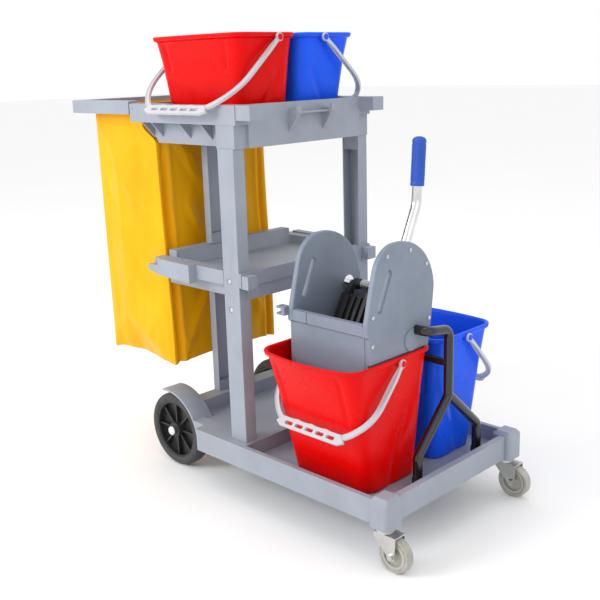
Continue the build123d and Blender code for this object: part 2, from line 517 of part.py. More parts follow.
with BuildPart() as wringer_far_panel:
    with BuildSketch(Plane.YZ.offset(ax + in_x0)) as outline:
        with BuildLine():
            Polyline((-24, 389), (-9, 432), (1, 486), (6, 540), (1, 540), (-4, 487), (-14, 434), (-29, 389), close=True)
        make_face()
    extrude(outline.sketch, amount=in_x1 - in_x0)
wringer_far_panel.part.label = "wringer_far_panel"
export_step(wringer_far_panel.part, "parts/wringer_far_panel.step")

with BuildPart() as wringer_floor:
    block(in_x0, in_x1, -199, -24, 384, 389)
    with Locations((ax + (in_x0 + in_x1) / 2, -111, 386.5)):
        with GridLocations(22, 22, 8, 7):
            Cylinder(5, 6, mode=Mode.SUBTRACT)
wringer_floor.part.label = "wringer_floor"
export_step(wringer_floor.part, "parts/wringer_floor.step")

with BuildPart() as squeeze_plate:
    block(in_x0 + 1, in_x1 - 1, -199, -193, 392, 512)
    for x in range(486, 670, 16):
        block(x, x + 5, -194, -187, 396, 508)
squeeze_plate.part.label = "squeeze_plate"
export_step(squeeze_plate.part, "parts/squeeze_plate.step")

with BuildPart() as tie_rods:
    for y, z in ((-172, 470), (-14, 505), (-60, 400)):
        rod((in_x0, y, z), (1, 0, 0), 4, in_x1 - in_x0)
tie_rods.part.label = "tie_rods"
export_step(tie_rods.part, "parts/tie_rods.step")

with BuildPart() as plate_screws:
    for face_x, out in ((plate_x0, -1), (plate_x1, 1)):
        for y, z in ((-148, 653), (-71, 655), (-14, 616), (-196, 532), (-3, 491), (-198, 470)):
            rod((face_x, y, z), (out, 0, 0), 4.5, 1.6)
plate_screws.part.label = "plate_screws"
export_step(plate_screws.part, "parts/plate_screws.step")

with BuildPart() as shaft_flanges:
    for x in (in_x0, in_x1 - 6):
        rod((x, shaft_y, shaft_z), (1, 0, 0), 17, 6)
        rod((x - 1, shaft_y, shaft_z), (1, 0, 0), shaft_r + clear, 8, Mode.SUBTRACT)
shaft_flanges.part.label = "shaft_flanges"
export_step(shaft_flanges.part, "parts/shaft_flanges.step")

with BuildPart() as wringer_clip:
    block(432, plate_x0, -224, -204, 502, 522)
    block(431, 446, -225, -211, 507, 517, Mode.SUBTRACT)
wringer_clip.part.label = "wringer_clip"
export_step(wringer_clip.part, "parts/wringer_clip.step")

# ---------------------------------------------------------------- wringer lever and press
with BuildPart() as lever_shaft:
    rod((in_x0 - 9, shaft_y, shaft_z), (1, 0, 0), shaft_r, in_x1 - in_x0 + 18)
lever_shaft.part.label = "lever_shaft"
export_step(lever_shaft.part, "parts/lever_shaft.step")

lever_r, grip_r = 11.5, 16.0
with BuildPart() as lever_tube:
    with BuildLine() as spine:
        FilletPolyline((ax + lever_x, -27, 552), (ax + lever_x, 57, 728), (ax + lever_x, 67, 866), radius=60)
    with BuildSketch(Plane(origin=spine.line @ 0, z_dir=spine.line % 0)):
        Circle(lever_r)
        Circle(lever_r - 2, mode=Mode.SUBTRACT)
    sweep(path=spine.line)
    rod((lever_x - 18, shaft_y, shaft_z), (1, 0, 0), 14, 36)
    rod((lever_x - 19, shaft_y, shaft_z), (1, 0, 0), shaft_r + clear, 38, Mode.SUBTRACT)
lever_tube.part.label = "lever_tube"
export_step(lever_tube.part, "parts/lever_tube.step")

with BuildPart() as lever_grip:
    grip_dir = Vector(0, 67 - 57, 866 - 728).normalized()
    grip_start = Vector(ax + lever_x, 67, 866) - grip_dir * 96
    with Locations(Plane(origin=grip_start, z_dir=grip_dir).location):
        Cylinder(grip_r, 110, align=(Align.CENTER, Align.CENTER, Align.MIN))
    fillet(lever_grip.faces().sort_by(Axis.Z)[-1].edges(), 9)
    fillet(lever_grip.faces().sort_by(Axis.Z)[0].edges(), 3)
    with Locations(Plane(origin=grip_start - grip_dir, z_dir=grip_dir).location):
        Cylinder(lever_r + clear, 98, align=(Align.CENTER, Align.CENTER, Align.MIN), mode=Mode.SUBTRACT)
lever_grip.part.label = "lever_grip"
export_step(lever_grip.part, "parts/lever_grip.step")

with BuildPart() as press_plate:
    for x in (500.0, 560.0, 640.0):
        rod((x, shaft_y, shaft_z), (1, 0, 0), 13, 12)
        with BuildSketch(Plane.YZ.offset(ax + x)) as arm:
            with BuildLine():
                Polyline((-40, 552), (-48, 536), (-104, 452), (-114, 456), (-66, 540), (-42, 558), close=True)
            make_face()
        extrude(arm.sketch, amount=12)
    with BuildSketch(Plane.YZ.offset(ax + 488)) as face_outline:
        with BuildLine():
            Polyline((-52, 528), (-106, 440), (-116, 446), (-66, 530), close=True)
        make_face()
    extrude(face_outline.sketch, amount=172)
    for x in range(496, 650, 18):
        with BuildSketch(Plane.YZ.offset(ax + x)) as rib:
            with BuildLine():
                Polyline((-66, 528), (-115, 446), (-124, 452), (-76, 528), close=True)
            make_face()
        extrude(rib.sketch, amount=5)
    rod((480, shaft_y, shaft_z), (1, 0, 0), shaft_r + clear, 190, Mode.SUBTRACT)
press_plate.part.label = "press_plate"
export_step(press_plate.part, "parts/press_plate.step")

with BuildPart() as return_spring:
    with BuildLine() as coil:
        Helix(pitch=5, height=30, radius=10.5, center=(ax + 522, shaft_y, shaft_z), direction=(1, 0, 0))
    with BuildSketch(Plane(origin=coil.line @ 0, z_dir=coil.line % 0)):
        Circle(1.2)
    sweep(path=coil.line, is_frenet=True)
return_spring.part.label = "return_spring"
export_step(return_spring.part, "parts/return_spring.step")
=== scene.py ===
import json
import math

import bmesh
import bpy
from mathutils import Matrix, Vector, noise


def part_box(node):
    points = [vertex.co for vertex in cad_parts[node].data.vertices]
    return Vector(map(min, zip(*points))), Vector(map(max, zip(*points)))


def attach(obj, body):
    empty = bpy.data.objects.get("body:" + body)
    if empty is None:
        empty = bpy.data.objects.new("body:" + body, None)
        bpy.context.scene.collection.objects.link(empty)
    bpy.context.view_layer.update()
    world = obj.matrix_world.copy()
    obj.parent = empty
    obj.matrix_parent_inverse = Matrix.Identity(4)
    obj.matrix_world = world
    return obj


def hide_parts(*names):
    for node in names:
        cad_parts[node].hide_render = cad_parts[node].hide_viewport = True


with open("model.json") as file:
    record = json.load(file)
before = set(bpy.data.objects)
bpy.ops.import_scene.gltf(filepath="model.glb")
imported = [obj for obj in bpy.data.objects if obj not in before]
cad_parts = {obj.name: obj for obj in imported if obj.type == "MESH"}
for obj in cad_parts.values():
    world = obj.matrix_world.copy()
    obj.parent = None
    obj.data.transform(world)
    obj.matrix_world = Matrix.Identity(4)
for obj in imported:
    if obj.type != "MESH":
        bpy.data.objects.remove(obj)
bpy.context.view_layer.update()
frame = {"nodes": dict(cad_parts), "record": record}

MM = 0.001
AXLE_X = -243.5  # rear axle, from the middle of the cart; the tables below measure X from it


# ---------------------------------------------------------------- materials
class Shader:
    """A principled material whose textures are worked out from the piece's own coordinates."""

    def __init__(self, name, **sockets):
        self.material = bpy.data.materials.new(name)
        self.material.use_nodes = True
        self.nodes = self.material.node_tree.nodes
        self.links = self.material.node_tree.links
        self.bsdf = self.nodes["Principled BSDF"]
        self.place = self.nodes.new("ShaderNodeTexCoord").outputs["Object"]
        for key, value in sockets.items():
            self.bsdf.inputs[key.replace("_", " ")].default_value = value
        self.height = None

    def scaled(self, scale):
        node = self.nodes.new("ShaderNodeMapping")
        node.inputs["Scale"].default_value = scale
        self.links.new(self.place, node.inputs["Vector"])
        return node.outputs["Vector"]

    def noise(self, scale, detail=3.0, rough=0.5, stretch=None):
        node = self.nodes.new("ShaderNodeTexNoise")
        node.inputs["Scale"].default_value = scale
        node.inputs["Detail"].default_value = detail
        node.inputs["Roughness"].default_value = rough
        self.links.new(self.scaled(stretch) if stretch else self.place, node.inputs["Vector"])
        return node.outputs["Fac"]

    def remap(self, value, low, high, to_low, to_high):
        node = self.nodes.new("ShaderNodeMapRange")
        for key, number in (("From Min", low), ("From Max", high), ("To Min", to_low), ("To Max", to_high)):
            node.inputs[key].default_value = number
        self.links.new(value, node.inputs["Value"])
        return node.outputs["Result"]

    def tone(self, value, dark, light):
        node = self.nodes.new("ShaderNodeMix")
        node.data_type = "RGBA"
        node.inputs["A"].default_value = (*dark, 1)
        node.inputs["B"].default_value = (*light, 1)
        self.links.new(value, node.inputs["Factor"])
        self.links.new(node.outputs["Result"], self.bsdf.inputs["Base Color"])

    def rough(self, value, low, high):
        self.links.new(self.remap(value, 0.3, 0.7, low, high), self.bsdf.inputs["Roughness"])

    def bump(self, value, depth, strength=1.0):
        """Adds one layer of relief; depth is in metres."""
        node = self.nodes.new("ShaderNodeBump")
        node.inputs["Distance"].default_value = depth
        node.inputs["Strength"].default_value = strength
        self.links.new(value, node.inputs["Height"])
        if self.height:
            self.links.new(self.height, node.inputs["Normal"])
        self.height = node.outputs["Normal"]
        self.links.new(self.height, self.bsdf.inputs["Normal"])


def shade(colour, factor):
    return tuple(min(1.0, c * factor) for c in colour)


def plastic(name, colour, low, high, grain=0.00012, spread=0.08, gloss=0.45, **sockets):
    """Moulded plastic: cloudy tone, faint flow streaks, fine leather-like grain and a few scuffs."""
    s = Shader(name, Specular_IOR_Level=gloss, **sockets)
    s.tone(s.remap(s.noise(9, 5, 0.6), 0.3, 0.7, 0, 1), shade(colour, 1 - spread), shade(colour, 1 + spread))
    s.rough(s.noise(22, 4, 0.65), low, high)
    s.bump(s.noise(1400, 2, 0.6), grain, 0.6)
    s.bump(s.remap(s.noise(60, 6, 0.7, (1, 1, 0.12)), 0.62, 0.72, 0, 1), 0.00005, 0.35)
    return s.material


def metal(name, colour, low, high, stretch=(1, 1, 1), brush=0.00004, scale=500, **sockets):
    s = Shader(name, Metallic=1.0, **sockets)
    s.tone(s.remap(s.noise(30, 4), 0.3, 0.7, 0, 1), shade(colour, 0.86), shade(colour, 1.05))
    s.rough(s.noise(45, 5, 0.6), low, high)
    s.bump(s.noise(scale, 3, 0.6, stretch), brush, 0.5)
    return s.material


def rubber(name, colour, low, high):
    s = Shader(name, Specular_IOR_Level=0.35)
    s.tone(s.remap(s.noise(25, 6, 0.7), 0.35, 0.7, 0, 1), shade(colour, 0.8), shade(colour, 1.3))
    s.rough(s.noise(40, 4), low, high)
    s.bump(s.noise(700, 4, 0.7), 0.0002, 0.6)
    return s.material


def vinyl(name, colour):
    """Coated sheet: fine basket weave under a soft gloss, with small crinkles."""
    s = Shader(name, Specular_IOR_Level=0.14)
    s.tone(s.remap(s.noise(6, 5, 0.55), 0.3, 0.7, 0, 1), shade(colour, 0.92), shade(colour, 1.06))
    s.rough(s.noise(18, 4), 0.34, 0.5)
    for direction in ("X", "Z"):
        wave = s.nodes.new("ShaderNodeTexWave")
        wave.bands_direction = direction
        wave.inputs["Scale"].default_value = 260
        s.links.new(s.place, wave.inputs["Vector"])
        s.bump(wave.outputs["Fac"], 0.00005, 0.25)
    s.bump(s.noise(14, 6, 0.62, (1, 1, 0.55)), 0.0035, 0.35)
    s.bump(s.noise(55, 5, 0.7, (1, 1, 0.7)), 0.0008, 0.3)
    return s.material


PALE = plastic("pale_plastic", (0.30, 0.33, 0.385), 0.38, 0.52)
WRINGER = plastic("wringer_plastic", (0.20, 0.235, 0.30), 0.36, 0.5, spread=0.1)
RED = plastic("red_plastic", (0.72, 0.001, 0.001), 0.24, 0.36, 0.00006, 0.06, gloss=0.12)
BLUE = plastic("blue_plastic", (0.01, 0.10, 0.86), 0.24, 0.36, 0.00006, 0.08, gloss=0.16)
WHITE = plastic("bail_plastic", (0.52, 0.54, 0.58), 0.28, 0.42, 0.00006, 0.05)
BLACK = plastic("black_plastic", (0.016, 0.016, 0.018), 0.3, 0.5, 0.0001, 0.2)
BEIGE = plastic("beige_plastic", (0.42, 0.41, 0.37), 0.4, 0.55)
GRIP = plastic("blue_grip", (0.012, 0.075, 0.45), 0.38, 0.55, 0.0001)
PAINT = plastic("black_paint", (0.008, 0.008, 0.009), 0.1, 0.2, 0.00003, 0.2,
                Coat_Weight=0.4, Coat_Roughness=0.06)
ZINC = metal("zinc_steel", (0.62, 0.62, 0.6), 0.26, 0.42)
CHROME = metal("chrome_trim", (0.82, 0.82, 0.84), 0.06, 0.14, (1, 1, 0.1), 0.00001)
TYRE = rubber("tyre_rubber", (0.05, 0.05, 0.054), 0.5, 0.7)
TREAD = rubber("grey_rubber", (0.36, 0.35, 0.315), 0.5, 0.68)
FOOT = rubber("black_rubber", (0.02, 0.02, 0.02), 0.5, 0.7)
YELLOW = vinyl("yellow_vinyl", (0.90, 0.42, 0.001))
BY_SLOT = {"pale_plastic": PALE, "wringer_plastic": WRINGER, "red_plastic": RED, "blue_plastic": BLUE,
           "bail_plastic": WHITE, "black_plastic": BLACK, "beige_plastic": BEIGE, "blue_grip": GRIP,
           "black_paint": PAINT, "zinc_steel": ZINC, "chrome_trim": CHROME, "tyre_rubber": TYRE,
           "grey_rubber": TREAD, "black_rubber": FOOT, "yellow_vinyl": YELLOW}
slot_of = {part["node"]: part["material_slot"] for part in frame["record"]["subparts"]}

# ---------------------------------------------------------------- CAD pieces kept as they are
SOFT_EDGES = {"base_deck": 1.6, "middle_shelf": 1.4, "top_tray": 1.6, "near_post": 1.4, "far_post": 1.4,
              "rear_post_lower": 1.2, "rear_post_upper": 1.2, "bag_frame": 1.2, "wringer_near_panel": 1.0,
              "wringer_plate_front": 1.2, "wringer_plate_rear": 1.2, "wringer_clip": 1.0, "press_plate": 0.8,
              "squeeze_plate": 0.6, "caster_fork_near": 0.6, "caster_fork_far": 0.6, "rear_hub_near": 1.0,
              "rear_hub_far": 1.0}
for name, node in frame["nodes"].items():
    node.data.materials.clear()
    node.data.materials.append(BY_SLOT[slot_of[name]])
    if name in SOFT_EDGES:
        weld = node.modifiers.new("weld", "WELD")
        weld.merge_threshold = 0.00002
        soft = node.modifiers.new("soft_edges", "BEVEL")
        soft.width = SOFT_EDGES[name] * MM
        soft.segments = 2
        soft.limit_method = "ANGLE"
        soft.angle_limit = math.radians(35)
        soft.harden_normals = True


# ---------------------------------------------------------------- mesh helpers
def piece(name, verts, faces, material, body, stands_for, angle=40):
    """A mesh piece in the shared frame, from points in mm, that rides on a CAD body."""
    mesh = bpy.data.meshes.new(name)
    mesh.from_pydata([Vector(v) * MM for v in verts], [], faces)
    work = bmesh.new()
    work.from_mesh(mesh)
    bmesh.ops.recalc_face_normals(work, faces=work.faces)
    work.to_mesh(mesh)
    work.free()
    mesh.materials.append(material)
    mesh.shade_smooth()
    mesh.set_sharp_from_angle(angle=math.radians(angle))
    obj = bpy.data.objects.new(name, mesh)
    bpy.context.scene.collection.objects.link(obj)
    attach(obj, body)
    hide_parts(*stands_for)
    return obj


class Shape:
    """Points and faces that are gathered into one mesh."""

    def __init__(self):
        self.verts, self.faces = [], []

    def rings(self, rings, closed=True, cap_start=False, cap_end=False):
        """Joins rings of equal length with quads."""
        base, n = len(self.verts), len(rings[0])
        for ring in rings:
            self.verts.extend(ring)
        for k in range(len(rings) - 1):
            for i in range(n if closed else n - 1):
                j = (i + 1) % n
                a = base + k * n
                self.faces.append((a + i, a + j, a + n + j, a + n + i))
        for wanted, k in ((cap_start, 0), (cap_end, len(rings) - 1)):
            if wanted:
                start = base + k * n
                centre = Vector((0, 0, 0))
                for p in rings[k]:
                    centre += Vector(p) / n
                self.verts.append(centre)
                hub = len(self.verts) - 1
                for i in range(n):
                    self.faces.append((start + i, start + (i + 1) % n, hub))

    def lathe(self, centre, axis, profile, count=32):
        """Turns (along, radius) points about an axis."""
        axis = Vector(axis).normalized()
        side = axis.orthogonal().normalized()
        up = axis.cross(side)
        rings = []
        for along, radius in profile:
            rings.append([Vector(centre) + axis * along + radius * (
                side * math.cos(2 * math.pi * i / count) + up * math.sin(2 * math.pi * i / count))
                for i in range(count)])
        self.rings(rings, cap_start=True, cap_end=True)

    def add_mesh(self, mesh, place):
        base = len(self.verts)
        self.verts.extend(place(v.co) for v in mesh.vertices)
        self.faces.extend(tuple(base + i for i in p.vertices) for p in mesh.polygons)


def step(t):
    t = min(1.0, max(0.0, t))
    return t * t * (3 - 2 * t)


def hump(distance, width):
    return math.exp(-(distance / width) ** 2)


# ---------------------------------------------------------------- buckets
CORNER, WALL, LIP = 28.0, 3.0, 7.0
BUCKETS = (
    dict(key="lower_red", mid=555, paint=RED, body="base", bail_body="lower_red_bail", pivot=(-113, 414),
         angle=43.0, reach=216,
         levels=((121, 118, -22, -190, 2), (330, 129, -6, -236, 3), (428, 137, 1, -258, 22))),
    dict(key="lower_blue", mid=555, paint=BLUE, body="lower_blue_bucket", bail_body="lower_blue_bail",
         pivot=(137, 414), angle=42.5, reach=216,
         levels=((121, 118, 50, 196, 2), (330, 129, 38, 226, 3), (428, 137, 35, 242, 12))),
    dict(key="upper_red", mid=149, paint=RED, body="upper_red_bucket", bail_body="upper_red_bail",
         pivot=(-75, 1104), angle=49.0, reach=250,
         levels=((934, 134, -16, -168, 2), (1060, 149, -12, -182, 3), (1115, 159, -10, -190, 8))),
    dict(key="upper_blue", mid=149, paint=BLUE, body="upper_blue_bucket", bail_body="upper_blue_bail",
         pivot=(78, 1104), angle=49.0, reach=250,
         levels=((934, 134, 16, 168, 2), (1060, 149, 12, 182, 3), (1115, 159, 10, 190, 8))),
)


def level_at(levels, z):
    """Half length, inner side, outer side and bulge at one height."""
    for low, high in zip(levels, levels[1:]):
        if z <= high[0] or high is levels[-1]:
            t = min(1.0, max(0.0, (z - low[0]) / (high[0] - low[0])))
            return [a + (b - a) * t for a, b in zip(low[1:], high[1:])]


def bucket_ring(b, z, inset, fluted):
    """One loop of wall points; fluted is how strongly the flutes show, from 0 to 1."""
    half, inner, outer, bulge = level_at(b["levels"], z)
    sign = 1 if outer > inner else -1
    depth = abs(outer - inner)
    bottom, top = b["levels"][0][0], b["levels"][-1][0]
    tall = (z - bottom) / (top - bottom)
    points = []
    ends = ((1, 1), (-1, 1), (-1, -1), (1, -1))
    for n, (sx, sy) in enumerate(ends):
        for k in range(11):
            a = math.radians(90 * n + 9 * k)
            cx, cy = sx * (half - CORNER), sy * (depth / 2 - CORNER)
            out_x, out_y = math.cos(a), math.sin(a)
            points.append(((cx + CORNER * out_x, cy + CORNER * out_y), (out_x, out_y)))
        nx, ny = ends[(n + 1) % 4]
        count = 46 if sy == ny else 30
        ax0, ay0 = points[-1][0]
        a = math.radians(90 * (n + 1))
        ax1 = nx * (half - CORNER) + CORNER * math.cos(a)
        ay1 = ny * (depth / 2 - CORNER) + CORNER * math.sin(a)
        for k in range(1, count):
            t = k / count
            points.append(((ax0 + (ax1 - ax0) * t, ay0 + (ay1 - ay0) * t), (math.cos(a), math.sin(a))))
    ring = []
    for (x, y), (nx, ny) in points:
        bow = bulge * max(0.0, 1 - (x / half) ** 2) * step((y / depth) + 0.5)
        groove = 0.0
        if abs(ny) > 0.9:
            panel = step((tall - 0.52) / 0.05) * step((0.93 - tall) / 0.03)
            groove += 3.2 * panel * hump(abs(x) - half * 0.70, 5.5)
        if abs(nx) > 0.9:
            path = depth * (0.30 * step(tall / 0.6) - 0.06)
            groove += 3.6 * step((0.62 - tall) / 0.12) * hump(y + path, 11)
        push = -(inset + groove * fluted)
        px, py = x + nx * push, y + bow + ny * push
        ring.append((AXLE_X + b["mid"] + px, (inner + outer) / 2 + sign * py, z))
    return ring


def build_bucket(b):
    shape = Shape()
    bottom, top = b["levels"][0][0], b["levels"][-1][0]
    profile = [(bottom + 1.5, 12, 0), (bottom, 9, 0), (bottom, 5.5, 0), (bottom + 1.6, 1.8, 0.5),
               (bottom + 5, 0, 1)]
    steps = 44
    wall = [(bottom + 5 + (top - 19 - bottom) * k / steps, 0, 1) for k in range(1, steps + 1)]
    rim = [(-12.5, -0.8), (-11.6, -3), (-10.8, -5.6), (-9.4, -6.8), (-7.5, -LIP), (-3.5, -LIP), (-1.4, -6.2),
           (-0.4, -4.8), (0, -2.8), (-0.2, -0.6), (-1.2, 1.2), (-3.2, 2.5), (-7, WALL)]
    profile += wall + [(top + dz, inset, 0) for dz, inset in rim]
    profile += [(z, WALL, 1) for z, _, _ in reversed(wall[1:])]
    profile += [(bottom + 8, WALL, 1), (bottom + 5, WALL + 2, 0.5), (bottom + 3.2, WALL + 7, 0)]
    shape.rings([bucket_ring(b, *p) for p in profile], cap_start=True, cap_end=True)
    half = b["levels"][-1][1]
    y, z = b["pivot"]
    for end in (-1, 1):
        centre = (AXLE_X + b["mid"] + end * (half - 6), y, z)
        arm = LIP + 6.8
        pin = [(0, 9), (LIP + 5.2, 9), (LIP + 6, 8.2), (LIP + 6, 4), (arm + 6.4, 4), (arm + 6.4, 6.4),
               (arm + 7, 7), (arm + 7.4, 7), (arm + 7.7, 5.5)]
        shape.lathe(centre, (end, 0, 0), pin)
    name = "bucket_" + b["key"]
    return piece(name + "_shell", shape.verts, shape.faces, b["paint"], b["body"], (name,), angle=50)


# ---------------------------------------------------------------- bails
def rounded_path(corners, radius, per_corner=9):
    """A polyline whose corners are turned into arcs."""
    path = [Vector(corners[0])]
    for before, at, after in zip(corners, corners[1:], corners[2:]):
        a, p, c = Vector(before), Vector(at), Vector(after)
        cut = min(radius, (a - p).length * 0.45, (c - p).length * 0.45)
        start, end = p + (a - p).normalized() * cut, p + (c - p).normalized() * cut
        for k in range(per_corner + 1):
            t = k / per_corner
            path.append(start.lerp(p, t).lerp(p.lerp(end, t), t))
    path.append(Vector(corners[-1]))
    return path


def grip_mesh(half, low, high, thick):
    """The grip bar: oval holes through it and a scalloped finger edge."""
    outline = [(-half - 14, low - 9), (-half + 2, low), (half - 2, low), (half + 14, low - 9)]
    count = 60
    upper = []
    for k in range(count + 1):
        x = half - 2 * half * k / count
        scallop = 1.6 * max(0.0, math.cos(4 * math.pi * x / half)) * step((half * 0.92 - abs(x)) / 14)
        upper.append((x, high - scallop - 0.6))
    curve = bpy.data.curves.new("grip", "CURVE")
    curve.dimensions = "2D"
    curve.fill_mode = "BOTH"
    round_edge = 1.1
    curve.extrude = thick / 2 - round_edge
    curve.bevel_depth = round_edge
    curve.offset = -round_edge
    curve.bevel_resolution = 2
    loops = [[(x, y) for x, y in outline] + upper]
    hole_half, pitch, hole_r = half * 0.135, half * 0.36, 4.2
    middle = (low + high) / 2 + 0.5
    for n in range(-2, 3):
        hole = []
        for k in range(20):
            a = 2 * math.pi * k / 20
            reach = hole_half - hole_r
            end = math.copysign(reach, math.cos(a))
            hole.append((n * pitch + end + hole_r * math.cos(a), middle + hole_r * math.sin(a)))
        loops.append(hole)
    for loop in loops:
        spline = curve.splines.new("POLY")
        spline.points.add(len(loop) - 1)
        for point, (x, y) in zip(spline.points, loop):
            point.co = (x, y, 0, 1)
        spline.use_cyclic_u = True
    holder = bpy.data.objects.new("grip", curve)
    mesh = bpy.data.meshes.new_from_object(holder)
    bpy.data.objects.remove(holder)
    bpy.data.curves.remove(curve)
    return mesh


def build_bail(b):
    shape = Shape()
    half = b["levels"][-1][1]
    arm_x = half + LIP + 0.8
    side = 1 if b["pivot"][0] > 0 else -1
    tilt = math.radians(b["angle"])
    down = Vector((0, side * math.sin(tilt), -math.cos(tilt)))
    across = Vector((1, 0, 0))
    out = across.cross(down)
    origin = Vector((AXLE_X + b["mid"], *b["pivot"]))

    def place(p):
        return origin + across * p[0] + down * p[1] + out * p[2]

    knee, reach, grip_half = b["reach"] * 0.66, b["reach"] - 11, arm_x * 0.6
    mid_x = arm_x + 3
    path = rounded_path([(-mid_x, 0), (-mid_x, knee), (-grip_half - 4, reach), (grip_half + 4, reach),
                         (mid_x, knee), (mid_x, 0)], 46)
    dense = []
    for p, q in zip(path, path[1:]):
        parts = max(1, round((q - p).length / 6))
        dense += [p.lerp(q, k / parts) for k in range(parts)]
    dense.append(path[-1])
    rings = []
    for i, p in enumerate(dense):
        ahead = (dense[min(i + 1, len(dense) - 1)] - dense[max(i - 1, 0)]).normalized()
        normal = Vector((-ahead.y, ahead.x))
        spread = step((p.y - 8) / 34)
        if abs(p.x) < grip_half - 6:
            break
        w, t = 3.0 + 3.4 * spread, 5.0 - 1.1 * spread
        section = [(-w, -t + 0.8), (-w, t - 0.8), (-w + 0.8, t), (-w + 1.9, t), (-w + 2.6, t - 1.5 * spread),
                   (w - 2.6, t - 1.5 * spread), (w - 1.9, t), (w - 0.8, t), (w, t - 0.8), (w, -t + 0.8),
                   (w - 0.8, -t), (w - 1.9, -t), (w - 2.6, -t + 1.5 * spread), (-w + 2.6, -t + 1.5 * spread),
                   (-w + 1.9, -t), (-w + 0.8, -t)]
        rings.append([(p.x + normal.x * a, p.y + normal.y * a, c) for a, c in section])
    shape.rings([[place(p) for p in ring] for ring in rings], cap_start=True, cap_end=True)
    shape.rings([[place((-x, y, z)) for x, y, z in ring] for ring in rings], cap_start=True, cap_end=True)
    grip = grip_mesh(grip_half, b["reach"], b["reach"] - 24, 8.4)
    shape.add_mesh(grip, lambda co: place(co))
    bpy.data.meshes.remove(grip)
    for end in (-1, 1):
        shape.lathe(place((end * (arm_x + 0.2), 0, 0)), (end, 0, 0),
                    [(0, 4.2), (0, 9.2), (0.8, 10), (5, 10), (5.8, 9.2), (5.8, 7.6), (5.2, 7.2), (5.2, 4.2)])
    name = "bail_" + b["key"]
    return piece(name + "_hoop", shape.verts, shape.faces, WHITE, b["bail_body"], (name,), angle=38)


for b in BUCKETS:
    build_bucket(b)
    build_bail(b)


# ---------------------------------------------------------------- waste bag
BAG_BACK, BAG_HALF, BAG_TOP, BAG_LOW = -287.0, 185.0, 955.0, 279.0
BAG_FRONT = ((955, -79), (903, -79), (858, -26), (290, -8))


def bag_front(z):
    for (z0, x0), (z1, x1) in zip(BAG_FRONT, BAG_FRONT[1:]):
        if z >= z1:
            return x0 + (x1 - x0) * step((z0 - z) / (z0 - z1)) if z < z0 else x0
    return BAG_FRONT[-1][1]


def crease(u, v, start, end, width, depth):
    """A fold line between two points of a panel, each given as shares of its width and height."""
    (u0, v0), (u1, v1) = start, end
    length = math.hypot(u1 - u0, v1 - v0)
    along = ((u - u0) * (u1 - u0) + (v - v0) * (v1 - v0)) / length ** 2
    across = ((u - u0) * (v1 - v0) - (v - v0) * (u1 - u0)) / length
    fade = step(along / 0.18) * step((1 - along) / 0.18) if 0 < along < 1 else 0
    return depth * fade * max(0.0, 1 - abs(across) / width)


SIDE_FOLDS = (((0.0, 0.03), (0.42, 0.24), 0.05, 5), ((1.0, 0.08), (0.45, 0.20), 0.045, 4),
              ((0.42, 0.30), (0.95, 0.40), 0.04, 3), ((0.05, 0.30), (0.36, 0.42), 0.05, -3),
              ((0.46, 0.42), (0.98, 0.36), 0.03, -2.5), ((0.1, 0.55), (0.4, 0.50), 0.05, 3),
              ((0.5, 0.62), (0.9, 0.70), 0.05, -2.5), ((0.95, 0.75), (0.6, 0.92), 0.05, 3))
END_FOLDS = (((0.08, 0.05), (0.55, 0.45), 0.05, 7), ((0.95, 0.02), (0.62, 0.35), 0.05, 6),
             ((0.2, 0.35), (0.62, 0.78), 0.04, 6), ((0.75, 0.3), (0.42, 0.62), 0.04, -4),
             ((0.08, 0.98), (0.4, 0.72), 0.05, 7), ((0.12, 0.96), (0.75, 0.86), 0.04, -5),
             ((0.9, 0.9), (0.6, 0.6), 0.05, 5))


def side_relief(u, v):
    """Near and far panels: u runs from the back edge to the front edge, v from top to bottom."""
    centre = 0.36 + 0.02 * v
    ridge = 15 * step((v - 0.02) / 0.25) * (1 - abs(u - centre) / (centre if u < centre else 1 - centre))
    gusset = 0.83 + 0.17 * (u - centre) / (1 - centre) if u > centre else 0.83 + 0.12 * (centre - u) / centre
    under = max(0.0, v - gusset) / 0.17
    ridge -= 40 * under ** 1.2 * min(1.0, 1.6 * (1 - abs(u - centre)))
    return ridge + sum(crease(u, v, *fold) for fold in SIDE_FOLDS)


def end_relief(u, v):
    """Front and back panels, with a pinched pleat beside each corner."""
    pinch = 0.0
    for edge in (u, 1 - u):
        pinch -= 15 * step(v / 0.3) * hump(edge - 0.055, 0.018) - 5 * hump(edge - 0.10, 0.025) * step(v / 0.2)
    belly = -9 * math.sin(math.pi * u) * step((v - 0.1) / 0.4)
    return pinch + belly + sum(crease(u, v, *fold) for fold in END_FOLDS)


